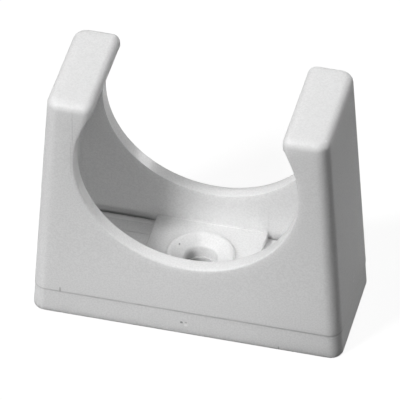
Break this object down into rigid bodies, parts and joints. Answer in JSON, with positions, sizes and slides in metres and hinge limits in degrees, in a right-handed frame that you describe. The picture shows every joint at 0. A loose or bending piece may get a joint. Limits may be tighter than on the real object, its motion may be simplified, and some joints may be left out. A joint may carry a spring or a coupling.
{
  "type": "pipe clip",
  "caption": "Open moulded pipe clip: hollow tapered body with a round seat, snap-in lips over the mouth, a low plinth and a dished screw boss inside the base.",
  "frame": {"origin": "centre of the base, on the plane of the surface that the clip is screwed to", "axes": "+Z out of the wall, through the screw hole and the mouth; Y along the pipe; X across the arms"},
  "size_m": [0.0456, 0.0186, 0.0391],
  "materials": {
    "moulding": "fine satin, as moulded"
  },
  "bodies": {
    "root": {"pipe_clip": "moulding"}
  },
  "joints": []
}
